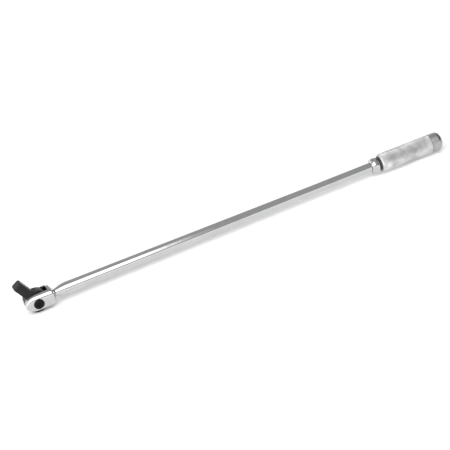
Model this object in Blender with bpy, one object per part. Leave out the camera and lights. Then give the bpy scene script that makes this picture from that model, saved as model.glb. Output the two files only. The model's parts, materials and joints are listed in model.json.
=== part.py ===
"""Half-inch square drive breaker bar with a flex head, about 25 inches long.

The bar lies along +X with its fork at the low end and its grip at the high end. The floor is Z = 0 and the
origin is the middle of the underside of the whole tool's box. The head's pivot runs along Y. The head is
drawn swung up, as the tool lies when it is put down. Lengths are in metres.
"""

import math

import bmesh
import bpy
from mathutils import Matrix, Vector

# ---------------------------------------------------------------------------
# Driving dimensions
# ---------------------------------------------------------------------------

GAP = 0.0003                 # clearance that touching pieces keep
LENGTH_STRAIGHT = 0.635      # tang end to grip end with the head in line
DRIVE_SQUARE = 0.0127        # half-inch square drive
HEAD_ANGLE = math.radians(58)    # how far the tang is swung up from straight out

# Head
EYE_RADIUS = 0.0156
EYE_THICKNESS = 0.0114
TANG_REACH = 0.0375          # pivot axis to tang end
TANG_CHAMFER = 0.0016
TANG_ROOT = 0.0122           # where the square prism starts inside the eye

# Fork
FORK_HALF_HEIGHT = 0.0124
FORK_HALF_WIDTH = 0.0138
FORK_NOSE = 0.0165           # pivot axis to the tip of the ears
NOSE_POWER = 2.7             # superellipse exponent of the nose seen from the side
NOSE_SIDE_LOSS = 0.16        # share of its width the fork loses at the very tip of the nose
FORK_SHOULDER = 0.0195       # where the fork's height starts to fall towards the waist
SIDE_SHOULDER = 0.0205       # where its width does
SQUARE_SHOULDER = 0.0195     # where its section starts to turn round
FORK_SQUARENESS = 2.9        # superellipse exponent of the fork's section
ROUND_SQUARENESS = 2.0       # the same for a round section
WAIST_X = 0.0262
WAIST_RADIUS = 0.0051
SLOT_HALF = 0.0067
SLOT_FLOOR = EYE_RADIUS + 2 * GAP    # flat, so the head can swing well past square both ways

# Shaft
SHAFT_START_X = 0.0430
SHAFT_ROOT_RADIUS = 0.00875
SHAFT_END_RADIUS = 0.00665
SHAFT_RING_X = (0.16, 0.28)  # extra rings along the taper
TAPER_END_X = 0.400

# Pivot screw and nut
PIN_RADIUS = 0.0055
SCREW_HEAD_RADIUS = 0.0069
SCREW_HEAD_DEPTH = 0.0030
SCREW_FACE_Y = 0.0144        # outer face of the screw head and of the nut
SCREW_EDGE = 0.0006          # chamfer round the screw head, the nut and the thread
THREAD_RADIUS = 0.0040
HEX_FLAT = 0.0030            # half the width across flats of the pivot screw's socket
HEX_DEPTH = 0.0022
NUT_BORE = THREAD_RADIUS + GAP
NUT_SLOT_WIDTH = 0.0020
NUT_SLOT_DEPTH = 0.0012
WASHER_THICKNESS = 0.0004
WASHER_RADIUS = 0.0115       # stays inside the tang's root

# Friction plunger in the floor of the slot
PLUNGER_RADIUS = 0.0030
PLUNGER_LENGTH = 0.0070
PLUNGER_BORE = PLUNGER_RADIUS + GAP
PLUNGER_BORE_END = 0.0325
FRICTION_WIRE = 0.0008
FRICTION_COIL_RADIUS = 0.0023
FRICTION_TURNS = 5

# Detent ball on the far face of the tang
BALL_RADIUS = 0.0024
BALL_PROUD = 0.0010
BALL_FROM_END = 0.0078
BALL_BORE = BALL_RADIUS + GAP
BALL_BORE_DEPTH = 0.0095
DETENT_WIRE = 0.0005
DETENT_COIL_RADIUS = 0.0017
DETENT_TURNS = 4.5

# Grip
GRIP_RADIUS = 0.0127
GRIP_LENGTH = 0.0781         # knurled length
CAP_LENGTH = 0.0165          # plain length that shows beyond the knurl
CAP_ROUND = 0.0070
SLEEVE_BORE = 0.0096
SLEEVE_CHAMFER = 0.0012
SPIGOT_LENGTH = 0.0120
COLLAR_RADIUS = 0.0111
COLLAR_LENGTH = 0.0125
COLLAR_ROUND = 0.0050           # rounding of the collar's bead at either end
GROOVE_WIDTH = 0.0020
GROOVE_RING_RADIUS = 0.0098
GROOVE_FLOOR = 0.0078
TAIL_RADIUS = SHAFT_END_RADIUS - GAP
STEP_SLOPE = 0.0001          # length over which the shaft steps down to its tail
END_SCREW_RADIUS = 0.0030
END_SCREW_HEAD_RADIUS = 0.0050
END_SCREW_HEAD = 0.0055
END_SCREW_REACH = 0.0200     # thread length inside the tail
END_POCKET = 0.0090          # depth of the pocket that holds the end screw's head
END_HEX_FLAT = 0.0025
END_HEX_DEPTH = 0.0030
END_SCREW_TIP_GAP = 0.0010   # left at the bottom of the tapped hole
TAIL_SHORT = 0.0030          # how far the tail stops short of the sleeve's end
LOCK_WASHER = 0.0012
LOCK_WASHER_RADIUS = 0.0046
WASHER_SPLIT = 0.0008

# ---------------------------------------------------------------------------
# Places along the bar, counted from the pivot axis
# ---------------------------------------------------------------------------

GRIP_END = LENGTH_STRAIGHT - TANG_REACH
SLEEVE_END = GRIP_END - CAP_LENGTH
SLEEVE_START = SLEEVE_END - GRIP_LENGTH
COLLAR_END = SLEEVE_START - GROOVE_WIDTH
COLLAR_START = COLLAR_END - COLLAR_LENGTH
CAP_FLOOR = GRIP_END - END_POCKET            # floor of the end screw's pocket
TAIL_END = SLEEVE_END - TAIL_SHORT

# The tool rests on its lowest piece, the eye of the head.
AXIS_Z = EYE_RADIUS
HEAD_LOW_X = -max(
    TANG_REACH * math.cos(HEAD_ANGLE) + (DRIVE_SQUARE / 2 - TANG_CHAMFER) * math.sin(HEAD_ANGLE),
    (TANG_REACH - TANG_CHAMFER) * math.cos(HEAD_ANGLE) + DRIVE_SQUARE / 2 * math.sin(HEAD_ANGLE),
)
PIVOT_X = -(GRIP_END + HEAD_LOW_X) / 2
PIVOT = Vector((PIVOT_X, 0.0, AXIS_Z))

ROUND = 32                   # sides of the larger round pieces
SMALL_ROUND = 20             # sides of the smaller ones

# ---------------------------------------------------------------------------
# Helpers
# ---------------------------------------------------------------------------

AXIS_TURN = {
    "X": Matrix.Rotation(math.radians(90), 4, "Y"),
    "Y": Matrix.Rotation(math.radians(-90), 4, "X"),
    "Z": Matrix.Identity(4),
}


def clear_scene():
    for item in list(bpy.data.objects):
        bpy.data.objects.remove(item, do_unlink=True)


def make_material(name, colour, roughness, metallic):
    material = bpy.data.materials.new(name)
    material.use_nodes = True
    shader = material.node_tree.nodes["Principled BSDF"]
    shader.inputs["Base Color"].default_value = (*colour, 1.0)
    shader.inputs["Roughness"].default_value = roughness
    shader.inputs["Metallic"].default_value = metallic
    material.diffuse_color = (*colour, 1.0)
    return material


def new_object(name, mesh_builder, material=None, parent=None, location=(0, 0, 0)):
    mesh = bpy.data.meshes.new(name)
    bm = bmesh.new()
    mesh_builder(bm)
    bmesh.ops.recalc_face_normals(bm, faces=bm.faces)
    bm.to_mesh(mesh)
    bm.free()
    mesh.shade_smooth()
    mesh.set_sharp_from_angle(angle=math.radians(35))
    thing = bpy.data.objects.new(name, mesh)
    bpy.context.collection.objects.link(thing)
    thing.location = location
    if parent is not None:
        thing.parent = parent
    if material is not None:
        mesh.materials.append(material)
    return thing


def rings_to_mesh(bm, rings):
    """Skin a list of equal vertex rings and cap both ends."""
    skins = [[bm.verts.new(point) for point in ring] for ring in rings]
    count = len(skins[0])
    for first, second in zip(skins, skins[1:]):
        for i in range(count):
            j = (i + 1) % count
            bm.faces.new((first[i], first[j], second[j], second[i]))
    bm.faces.new(skins[0])
    bm.faces.new(skins[-1])


def turned(profile, axis="X", sides=ROUND):
    """Body of revolution about an axis through the origin.

    The profile is a list of (place along the axis, radius). A closed profile makes a ring, one that starts
    and ends at radius 0 makes a solid.
    """
    closed = profile[0][1] > 0

    def build(bm):
        points = [Vector((radius, 0.0, along)) for along, radius in profile]
        verts = [bm.verts.new(point) for point in points]
        edges = [bm.edges.new(pair) for pair in zip(verts, verts[1:])]
        if closed:
            edges.append(bm.edges.new((verts[-1], verts[0])))
        bmesh.ops.spin(
            bm, geom=verts + edges, cent=(0, 0, 0), axis=(0, 0, 1),
            angle=math.tau, steps=sides, use_merge=True,
        )
        bmesh.ops.remove_doubles(bm, verts=bm.verts, dist=1e-6)
        bmesh.ops.transform(bm, matrix=AXIS_TURN[axis], verts=bm.verts)

    return build


def arc(centre_along, centre_radius, radius, start, end, steps):
    """Points of an arc in a turned profile, angles in degrees from the axis direction."""
    points = []
    for i in range(steps + 1):
        angle = math.radians(start + (end - start) * i / steps)
        along = centre_along + radius * math.cos(angle)
        points.append((along, centre_radius + radius * math.sin(angle)))
    return points


def rod(start, end, radius, axis="X", sides=ROUND):
    return turned([(start, 0.0), (start, radius), (end, radius), (end, 0.0)], axis, sides)


def tube(start, end, inner, outer, axis="X", sides=ROUND):
    return turned([(start, inner), (start, outer), (end, outer), (end, inner)], axis, sides)


def block(low, high):
    """Box between two corners."""

    def build(bm):
        size = Vector(high) - Vector(low)
        middle = (Vector(high) + Vector(low)) / 2
        bmesh.ops.create_cube(bm, size=1.0)
        bmesh.ops.scale(bm, vec=size, verts=bm.verts)
        bmesh.ops.translate(bm, vec=middle, verts=bm.verts)

    return build


def coil(radius, wire, start, end, turns, axis):
    """Helical spring with flat-lying end points, swept with a round wire."""
    per_turn = 14
    wire_sides = 6
    lift = end - start - wire
    steps = int(turns * per_turn)

    def centre(i):
        angle = math.tau * i / per_turn
        return Vector((radius * math.cos(angle), radius * math.sin(angle), start + wire / 2 + lift * i / steps))

    def build(bm):
        rings = []
        for i in range(steps + 1):
            here = centre(i)
            ahead = (centre(i + 1) - centre(i - 1)).normalized()
            outward = Vector((here.x, here.y, 0.0)).normalized()
            across = ahead.cross(outward).normalized()
            ring = []
            for k in range(wire_sides):
                angle = math.tau * k / wire_sides
                ring.append(here + wire / 2 * (math.cos(angle) * outward + math.sin(angle) * across))
            rings.append(ring)
        rings_to_mesh(bm, rings)
        bmesh.ops.transform(bm, matrix=AXIS_TURN[axis], verts=bm.verts)

    return build


def hexagon(half_flat, start, end, axis):
    """Hexagonal bar along an axis."""
    corner = half_flat / math.cos(math.radians(30))
    return rod(start, end, corner, axis, sides=6)


def boolean(target, cutter, operation="DIFFERENCE"):
    cutter.hide_render = True
    cutter.display_type = "WIRE"
    modifier = target.modifiers.new(cutter.name, "BOOLEAN")
    modifier.operation = operation
    modifier.solver = "EXACT"
    modifier.object = cutter


def empty(name, location, turn_y=0.0):
    marker = bpy.data.objects.new(name, None)
    bpy.context.collection.objects.link(marker)
    marker.location = location
    marker.rotation_euler = (0.0, turn_y, 0.0)
    marker.empty_display_size = 0.01
    return marker


# ---------------------------------------------------------------------------
# Fork, waist and shaft: one forging
# ---------------------------------------------------------------------------

def smooth_step(x, start, end):
    """0 before start, 1 after end, with a cosine ramp between."""
    share = min(max((x - start) / (end - start), 0.0), 1.0)
    return 0.5 - 0.5 * math.cos(math.pi * share)


def nose_share(x):
    """How much of its full height the fork keeps as its nose rounds off, a superellipse."""
    if x >= 0.0:
        return 1.0
    return (1.0 - min(-x / FORK_NOSE, 1.0) ** NOSE_POWER) ** (1.0 / NOSE_POWER)


def shaft_radius(x):
    """Radius of the round bar behind the waist."""
    if x < SHAFT_START_X:
        left = (SHAFT_START_X - x) / (SHAFT_START_X - WAIST_X)
        return SHAFT_ROOT_RADIUS - (SHAFT_ROOT_RADIUS - WAIST_RADIUS) * left ** 2
    share = min((x - SHAFT_START_X) / (TAPER_END_X - SHAFT_START_X), 1.0)
    return SHAFT_ROOT_RADIUS + (SHAFT_END_RADIUS - SHAFT_ROOT_RADIUS) * share


def fork_section(x):
    """Half width, half height and squareness of the forging at a place along the bar."""
    falling = smooth_step(x, FORK_SHOULDER, WAIST_X)
    falling_side = smooth_step(x, SIDE_SHOULDER, WAIST_X)
    bar = WAIST_RADIUS if x < WAIST_X else shaft_radius(x)
    nose = nose_share(x)
    height = (FORK_HALF_HEIGHT + (bar - FORK_HALF_HEIGHT) * falling) * nose
    side_round = 1.0 - NOSE_SIDE_LOSS * (1.0 - nose)
    width = (FORK_HALF_WIDTH + (bar - FORK_HALF_WIDTH) * falling_side) * side_round
    rounding = smooth_step(x, SQUARE_SHOULDER, WAIST_X)
    squareness = FORK_SQUARENESS + (ROUND_SQUARENESS - FORK_SQUARENESS) * rounding
    return width, height, squareness


def section_ring(x, width, height, squareness, sides=36):
    ring = []
    for i in range(sides):
        angle = math.tau * (i + 0.5) / sides
        c, s = math.cos(angle), math.sin(angle)
        y = math.copysign(abs(c) ** (2.0 / squareness), c) * width
        z = math.copysign(abs(s) ** (2.0 / squareness), s) * height
        ring.append((x, y, z))
    return ring


def forging(bm):
    nose_angles = (6, 14, 24, 36, 50, 66, 82)
    places = [-FORK_NOSE * math.cos(math.radians(angle)) for angle in nose_angles]
    places += [FORK_SHOULDER / 3, FORK_SHOULDER]
    fall = WAIST_X - FORK_SHOULDER
    places += [FORK_SHOULDER + fall * i / 10 for i in range(1, 11)]
    rise = SHAFT_START_X - WAIST_X
    places += [WAIST_X + rise * i / 5 for i in range(1, 6)]
    step = COLLAR_START - GAP
    places += [*SHAFT_RING_X, TAPER_END_X, step]
    rings = [section_ring(x, *fork_section(x)) for x in places]
    tail_places = [step + STEP_SLOPE, TAIL_END]
    rings += [section_ring(x, TAIL_RADIUS, TAIL_RADIUS, ROUND_SQUARENESS) for x in tail_places]
    rings_to_mesh(bm, rings)


def make_fork_shaft(root, steel):
    fork_shaft = new_object("fork_shaft", forging, steel, root)

    beyond = FORK_NOSE * 1.3
    slot = block((-beyond, -SLOT_HALF, -beyond), (SLOT_FLOOR, SLOT_HALF, beyond))
    seat_depth = SCREW_FACE_Y - SCREW_HEAD_DEPTH - GAP
    outside = SCREW_FACE_Y * 1.5
    seat = SCREW_HEAD_RADIUS + GAP
    cutters = [
        ("tail_thread_cut", rod(TAIL_END - END_SCREW_REACH, GRIP_END, END_SCREW_RADIUS + GAP, "X", SMALL_ROUND)),
        ("plunger_cut", rod(SLOT_FLOOR - PLUNGER_RADIUS, PLUNGER_BORE_END, PLUNGER_BORE, "X", SMALL_ROUND)),
        ("slot_cut", slot),
        ("near_seat_cut", rod(-outside, -seat_depth, seat, "Y")),
        ("far_seat_cut", rod(seat_depth, outside, seat, "Y")),
        ("pin_cut", rod(-outside, outside, PIN_RADIUS + GAP, "Y")),
    ]
    for name, builder in cutters:
        boolean(fork_shaft, new_object(name, builder, parent=root))
    return fork_shaft


# ---------------------------------------------------------------------------
# Drive head: drawn with its tang along -X from the pivot, then swung up
# ---------------------------------------------------------------------------

def make_head(pivot, black):
    eye = rod(-EYE_THICKNESS / 2, EYE_THICKNESS / 2, EYE_RADIUS, "Y", 48)
    drive_head = new_object("drive_head", eye, black, pivot)

    def tang(bm):
        half = DRIVE_SQUARE / 2
        small = half - TANG_CHAMFER
        rings = []
        for x, side in ((-TANG_ROOT, half), (-TANG_REACH + TANG_CHAMFER, half), (-TANG_REACH, small)):
            rings.append([(x, -side, -side), (x, side, -side), (x, side, side), (x, -side, side)])
        rings_to_mesh(bm, rings)

    boolean(drive_head, new_object("tang_union", tang, parent=pivot), "UNION")
    floor_y = DRIVE_SQUARE / 2 - BALL_BORE_DEPTH
    ball_cut = rod(floor_y, DRIVE_SQUARE, BALL_BORE, "Y", SMALL_ROUND)
    ball_x = -(TANG_REACH - BALL_FROM_END)
    boolean(drive_head, new_object("ball_cut", ball_cut, parent=pivot, location=(ball_x, 0, 0)))
    pin_cut = rod(-DRIVE_SQUARE, DRIVE_SQUARE, PIN_RADIUS + GAP, "Y")
    boolean(drive_head, new_object("eye_cut", pin_cut, parent=pivot))

    ball_y = DRIVE_SQUARE / 2 + BALL_PROUD - BALL_RADIUS
    return ball_x, ball_y, floor_y


def make_detent(pivot, bright, spring_steel, ball_x, ball_y, floor_y):
    def ball(bm):
        bmesh.ops.create_uvsphere(bm, u_segments=16, v_segments=10, radius=BALL_RADIUS)

    new_object("detent_ball", ball, bright, pivot, (ball_x, ball_y, 0))
    spring = coil(DETENT_COIL_RADIUS, DETENT_WIRE, floor_y + GAP, ball_y - BALL_RADIUS - GAP,
                  DETENT_TURNS, "Y")
    new_object("detent_spring", spring, spring_steel, pivot, (ball_x, 0, 0))


# ---------------------------------------------------------------------------
# Pivot hardware
# ---------------------------------------------------------------------------

def make_pivot_hardware(root, black, bright):
    seat = SCREW_FACE_Y - SCREW_HEAD_DEPTH
    shoulder_end = seat - GAP
    tip = SCREW_FACE_Y - SCREW_EDGE
    screw = [
        (-SCREW_FACE_Y, 0.0),
        (-SCREW_FACE_Y, SCREW_HEAD_RADIUS - SCREW_EDGE),
        (-SCREW_FACE_Y + SCREW_EDGE, SCREW_HEAD_RADIUS),
        (-seat, SCREW_HEAD_RADIUS),
        (-seat, PIN_RADIUS),
        (shoulder_end, PIN_RADIUS),
        (shoulder_end, THREAD_RADIUS),
        (tip, THREAD_RADIUS),
        (tip, 0.0),
    ]
    pivot_screw = new_object("pivot_screw", turned(screw, "Y"), black, root)
    socket = hexagon(HEX_FLAT, -SCREW_FACE_Y * 1.2, -SCREW_FACE_Y + HEX_DEPTH, "Y")
    boolean(pivot_screw, new_object("hex_cut", socket, parent=root))

    nut = [
        (seat, NUT_BORE),
        (seat, SCREW_HEAD_RADIUS),
        (SCREW_FACE_Y - SCREW_EDGE, SCREW_HEAD_RADIUS),
        (SCREW_FACE_Y, SCREW_HEAD_RADIUS - SCREW_EDGE),
        (SCREW_FACE_Y, NUT_BORE),
    ]
    pivot_nut = new_object("pivot_nut", turned(nut, "Y"), black, root)

    reach = SCREW_HEAD_RADIUS * 1.5
    spanner_slot = block(
        (-reach, SCREW_FACE_Y - NUT_SLOT_DEPTH, -NUT_SLOT_WIDTH / 2),
        (reach, SCREW_FACE_Y * 1.2, NUT_SLOT_WIDTH / 2),
    )
    boolean(pivot_nut, new_object("nut_slot_cut", spanner_slot, parent=root))

    inner = EYE_THICKNESS / 2 + GAP
    ring = (PIN_RADIUS + GAP, WASHER_RADIUS)
    near = tube(-inner - WASHER_THICKNESS, -inner, *ring, "Y")
    far = tube(inner, inner + WASHER_THICKNESS, *ring, "Y")
    new_object("thrust_washer_near", near, bright, root)
    new_object("thrust_washer_far", far, bright, root)


def make_friction(root, bright, spring_steel):
    tip = EYE_RADIUS + GAP
    nose = [(x, r) for x, r in arc(tip + PLUNGER_RADIUS, 0.0, PLUNGER_RADIUS, 180, 90, 6)]
    nose[0] = (tip, 0.0)
    plunger = nose + [(tip + PLUNGER_LENGTH, PLUNGER_RADIUS), (tip + PLUNGER_LENGTH, 0.0)]
    new_object("friction_plunger", turned(plunger, "X", SMALL_ROUND), bright, root)
    spring = coil(FRICTION_COIL_RADIUS, FRICTION_WIRE, tip + PLUNGER_LENGTH + GAP, PLUNGER_BORE_END - GAP,
                  FRICTION_TURNS, "X")
    new_object("friction_spring", spring, spring_steel, root)


# ---------------------------------------------------------------------------
# Grip
# ---------------------------------------------------------------------------

def make_grip(root, bright, satin, rubber, black):
    bore = TAIL_RADIUS + GAP
    bead_centre = COLLAR_RADIUS - COLLAR_ROUND
    bead = arc(COLLAR_START + COLLAR_ROUND, bead_centre, COLLAR_ROUND, 170, 90, 7)
    bead += arc(COLLAR_END - COLLAR_ROUND, bead_centre, COLLAR_ROUND, 90, 22, 6)
    collar = [(bead[0][0], bore)] + bead
    collar += [
        (COLLAR_END, GROOVE_FLOOR),
        (SLEEVE_START + GAP, GROOVE_FLOOR),
        (SLEEVE_START + GAP, SLEEVE_BORE - GAP),
        (SLEEVE_START + SPIGOT_LENGTH, SLEEVE_BORE - GAP),
        (SLEEVE_START + SPIGOT_LENGTH, bore),
    ]
    new_object("front_collar", turned(collar), bright, root)

    ring_start = COLLAR_END + GAP
    ring_end = SLEEVE_START - GAP
    ring = tube(ring_start, ring_end, GROOVE_FLOOR + GAP, GROOVE_RING_RADIUS)
    new_object("groove_ring", ring, rubber, root)

    sleeve = [
        (SLEEVE_START, SLEEVE_BORE),
        (SLEEVE_START, GRIP_RADIUS - SLEEVE_CHAMFER),
        (SLEEVE_START + SLEEVE_CHAMFER, GRIP_RADIUS),
        (SLEEVE_END, GRIP_RADIUS),
        (SLEEVE_END, SLEEVE_BORE),
    ]
    new_object("knurled_grip", turned(sleeve, sides=48), satin, root)

    start = SLEEVE_END + GAP
    cap = [
        (start, SLEEVE_BORE - GAP),
        (start, GRIP_RADIUS),
    ]
    cap += arc(GRIP_END - CAP_ROUND, GRIP_RADIUS - CAP_ROUND, CAP_ROUND, 90, 0, 8)
    pocket = END_SCREW_HEAD_RADIUS + GAP
    hole = END_SCREW_RADIUS + GAP
    cap += [
        (GRIP_END, pocket),
        (CAP_FLOOR, pocket),
        (CAP_FLOOR, hole),
        (TAIL_END + GAP, hole),
        (TAIL_END + GAP, bore),
        (SLEEVE_END - SPIGOT_LENGTH, bore),
        (SLEEVE_END - SPIGOT_LENGTH, SLEEVE_BORE - GAP),
    ]
    new_object("end_cap", turned(cap, sides=48), satin, root)

    washer_start = CAP_FLOOR + GAP
    washer = tube(washer_start, washer_start + LOCK_WASHER, hole, LOCK_WASHER_RADIUS)
    lock_washer = new_object("lock_washer", washer, bright, root)

    split = block(
        (washer_start - LOCK_WASHER, -WASHER_SPLIT / 2, 0.0),
        (washer_start + 2 * LOCK_WASHER, WASHER_SPLIT / 2, 2 * END_SCREW_HEAD_RADIUS),
    )
    boolean(lock_washer, new_object("washer_split_cut", split, parent=root))

    under_head = washer_start + LOCK_WASHER + GAP
    top = under_head + END_SCREW_HEAD
    tip = TAIL_END - END_SCREW_REACH + END_SCREW_TIP_GAP
    screw = [
        (tip, 0.0),
        (tip, END_SCREW_RADIUS),
        (under_head, END_SCREW_RADIUS),
        (under_head, END_SCREW_HEAD_RADIUS),
        (top, END_SCREW_HEAD_RADIUS),
        (top, 0.0),
    ]
    end_screw = new_object("end_screw", turned(screw, sides=SMALL_ROUND), black, root)
    socket = hexagon(END_HEX_FLAT, top - END_HEX_DEPTH, top + END_HEX_DEPTH, "X")
    boolean(end_screw, new_object("end_hex_cut", socket, parent=root))


def main():
    clear_scene()
    chrome = make_material("chrome_steel", (0.80, 0.81, 0.82), 0.12, 1.0)
    polished = make_material("polished_steel", (0.78, 0.79, 0.80), 0.10, 1.0)
    satin = make_material("satin_steel", (0.62, 0.62, 0.62), 0.38, 1.0)
    black = make_material("black_oxide", (0.035, 0.036, 0.040), 0.45, 0.6)
    spring_steel = make_material("spring_steel", (0.30, 0.30, 0.31), 0.35, 1.0)
    rubber = make_material("black_rubber", (0.02, 0.02, 0.02), 0.70, 0.0)

    root = empty("bar_axis", PIVOT)
    pivot = empty("head_pivot", PIVOT, HEAD_ANGLE)
    make_fork_shaft(root, chrome)
    ball_x, ball_y, floor_y = make_head(pivot, black)
    make_detent(pivot, polished, spring_steel, ball_x, ball_y, floor_y)
    make_pivot_hardware(root, black, polished)
    make_friction(root, polished, spring_steel)
    make_grip(root, polished, satin, rubber, black)


main()
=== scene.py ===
"""Looks for the breaker bar: finished meshes, materials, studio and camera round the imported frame.

Shapes are made in the bar's own axes, with the head's pivot at (0, 0, 0), the bar along +X and the pivot
along Y. The head is made with its tang along -X and then swung up. All lengths are in metres.
"""

import json
import math

import bmesh
import bpy
from mathutils import Matrix, Vector


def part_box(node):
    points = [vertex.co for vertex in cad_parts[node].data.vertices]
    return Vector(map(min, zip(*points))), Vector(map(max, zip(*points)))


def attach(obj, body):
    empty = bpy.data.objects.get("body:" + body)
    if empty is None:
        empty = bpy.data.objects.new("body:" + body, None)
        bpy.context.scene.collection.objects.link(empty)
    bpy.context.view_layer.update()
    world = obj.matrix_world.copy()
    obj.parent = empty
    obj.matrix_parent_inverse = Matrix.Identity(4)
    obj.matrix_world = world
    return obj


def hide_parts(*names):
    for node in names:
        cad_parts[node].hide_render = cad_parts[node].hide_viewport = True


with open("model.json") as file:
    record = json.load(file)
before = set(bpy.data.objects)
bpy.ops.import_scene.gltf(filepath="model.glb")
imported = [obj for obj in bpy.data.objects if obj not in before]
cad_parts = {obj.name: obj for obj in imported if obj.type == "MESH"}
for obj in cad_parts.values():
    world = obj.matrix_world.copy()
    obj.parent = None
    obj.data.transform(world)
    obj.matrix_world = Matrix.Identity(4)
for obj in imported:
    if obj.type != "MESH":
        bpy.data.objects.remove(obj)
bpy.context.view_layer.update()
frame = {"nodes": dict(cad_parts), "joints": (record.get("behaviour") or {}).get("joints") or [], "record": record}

# ---------------------------------------------------------------------------
# Places and sizes taken from the frame
# ---------------------------------------------------------------------------

JOINTS = {joint["name"]: joint for joint in frame["joints"]}
MOUNTS = {mount["name"]: mount for mount in frame["record"]["mounts"]}

PIVOT = Vector(JOINTS["head_swing"]["pos_m"])
TANG_AXIS = Vector(MOUNTS["drive_end_face"]["axis"])
HEAD_ANGLE = math.atan2(TANG_AXIS.z, -TANG_AXIS.x)
TANG_REACH = (Vector(MOUNTS["drive_end_face"]["pos_m"]) - PIVOT).length
DRIVE_SQUARE = 2 * abs(MOUNTS["drive_side_face"]["pos_m"][1])

BAR_TO_ROW = Matrix.Translation(PIVOT)
HEAD_TO_ROW = BAR_TO_ROW @ Matrix.Rotation(HEAD_ANGLE, 4, "Y")


def span(node):
    """A node's lowest and highest corner, counted from the pivot."""
    low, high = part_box(node)
    return Vector(low) - PIVOT, Vector(high) - PIVOT


FORK_LOW, FORK_HIGH = span("fork_shaft")
HEAD_LOW = span("drive_head")[0]
SCREW_LOW, SCREW_HIGH = span("pivot_screw")
NUT_LOW, NUT_HIGH = span("pivot_nut")
COLLAR_LOW, COLLAR_HIGH = span("front_collar")
GROOVE_LOW, GROOVE_HIGH = span("groove_ring")
GRIP_LOW, GRIP_HIGH = span("knurled_grip")
CAP_LOW, CAP_HIGH = span("end_cap")
END_SCREW_LOW, END_SCREW_HIGH = span("end_screw")
BALL_LOW, BALL_HIGH = span("detent_ball")

FORK_NOSE = -FORK_LOW.x
FORK_HALF_HEIGHT = FORK_HIGH.z
FORK_HALF_WIDTH = FORK_HIGH.y
EYE_RADIUS = -HEAD_LOW.z
SCREW_HEAD_RADIUS = NUT_HIGH.z
SCREW_FACE_Y = -SCREW_LOW.y
GRIP_RADIUS = GRIP_HIGH.z
COLLAR_RADIUS = COLLAR_HIGH.z
GRIP_END = CAP_HIGH.x

# Sizes that the boxes don't give
GAP = 0.0003                 # clearance between touching pieces
SLOT_HALF = 0.0067
SLOT_FLOOR = EYE_RADIUS + 2 * GAP
FORK_SQUARENESS = 2.9        # power of the fork's section; 2 is an ellipse
ROUND_SQUARENESS = 2.0
NOSE_POWER = 2.7
NOSE_SIDE_LOSS = 0.16        # share of the fork's width lost at its nose
FORK_SHOULDER = 0.0195       # where the height starts to fall behind the fork
SIDE_SHOULDER = 0.0205       # where the width starts to fall
SQUARE_SHOULDER = 0.0195     # where the section starts to turn round
WAIST_X = 0.0262
WAIST_RADIUS = 0.0051
SHAFT_START_X = 0.0430
SHAFT_ROOT_RADIUS = 0.00875
SHAFT_END_RADIUS = 0.00665
TAPER_END_X = 0.400
SHAFT_STEP_X = COLLAR_LOW.x - GAP
PLUNGER_BORE = 0.0033
PLUNGER_BORE_END = 0.0325
TAIL_HOLE = 0.0033           # hole for the end screw, in the shaft's tail and the cap's floor
TAIL_HOLE_DEPTH = 0.020
SLOT_EDGE = 0.0007           # rounding of the slot's and seats' edges

EYE_THICKNESS = 0.0114
EYE_EDGE = 0.00096
TANG_START = 0.0122
TANG_CHAMFER = 0.0016
TANG_EDGE = 0.00126
HEAD_VOXEL = 0.00026
HEAD_RELAX_STEPS = 6
BALL_FROM_END = 0.0078
BALL_RADIUS = 0.0024
BALL_BORE_DEPTH = 0.0095

PIN_RADIUS = 0.0055
THREAD_RADIUS = 0.0040
THREAD_CHAMFER = 0.0004
SCREW_HEAD_DEPTH = 0.0030
SCREW_CHAMFER = 0.0008
SCREW_DISH_DEPTH = 0.00025   # shallow dish round the hexagon
SCREW_DISH_FLAT = 0.0040
SCREW_DISH_RADIUS = 0.0048
SCREW_HEX_HALF = 0.0030
SCREW_HEX_DEPTH = 0.0022
SCREW_ROUNDING = 0.00035
SEAT_RADIUS = SCREW_HEAD_RADIUS + GAP
NUT_BORE = 0.0043
NUT_CHAMFER = 0.0008
NUT_SLOT_DEPTH = 0.0012
NUT_SLOT_HALF = 0.0010
NUT_ROUNDING = 0.0003
CUT_EDGE = 0.00015           # bevel on the edges of sockets and slots in screws
HEX_EDGE = 0.00018
SHARP_ANGLE = 40             # degrees; flatter edges get no bevel and are shaded smooth
CUTTER_EXTRA = 0.0020        # how far a cutter stands out of the piece

COLLAR_LENGTH = 0.0125
COLLAR_ROUND = 0.0050
COLLAR_FRONT_ANGLE = 170     # degrees; where the bead meets the shaft
COLLAR_BACK_ANGLE = 22       # degrees; where the bead meets the groove
COLLAR_ROUNDING = 0.0003
TAIL_BORE = SHAFT_END_RADIUS
SPIGOT_RADIUS = 0.0093
GROOVE_FLOOR = 0.0078
GROOVE_RING_ROUNDING = 0.0008

GRIP_START = GRIP_LOW.x
SLEEVE_END = GRIP_HIGH.x
SLEEVE_BORE = 0.0096
KNURL_AROUND = 64            # diamonds round the sleeve
KNURL_DEPTH = 0.00042
KNURL_MARGIN = 0.0016        # plain band at the front end of the knurl; half of it at the back
KNURL_FLAT = 0.22            # share of a diamond's half width left flat on its crest
FRONT_CHAMFER = (0.00064, 0.0006)    # start and drop of the sleeve's front chamfer
BACK_CHAMFER = (0.00032, 0.0003)
SLEEVE_EDGE = (0.0002, 0.0003)       # start and drop of the edge outside the end face

CAP_ROUND = 0.0070
CAP_EDGE = 0.0004
CAP_POCKET = 0.0053
CAP_POCKET_DEPTH = 0.0090
END_SCREW_RADIUS = 0.0030
END_SCREW_HEAD = 0.0055
END_SCREW_ROUNDING = 0.0005
END_HEX_HALF = 0.0025
END_HEX_DEPTH = 0.0030

ROUND = 96                   # sides of the larger round pieces
VERY_ROUND = 128             # sides of the eye and the end cap
SMALL_ROUND = 48             # sides of small holes
MERGE = 1e-6

# ---------------------------------------------------------------------------
# Mesh helpers
# ---------------------------------------------------------------------------

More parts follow.
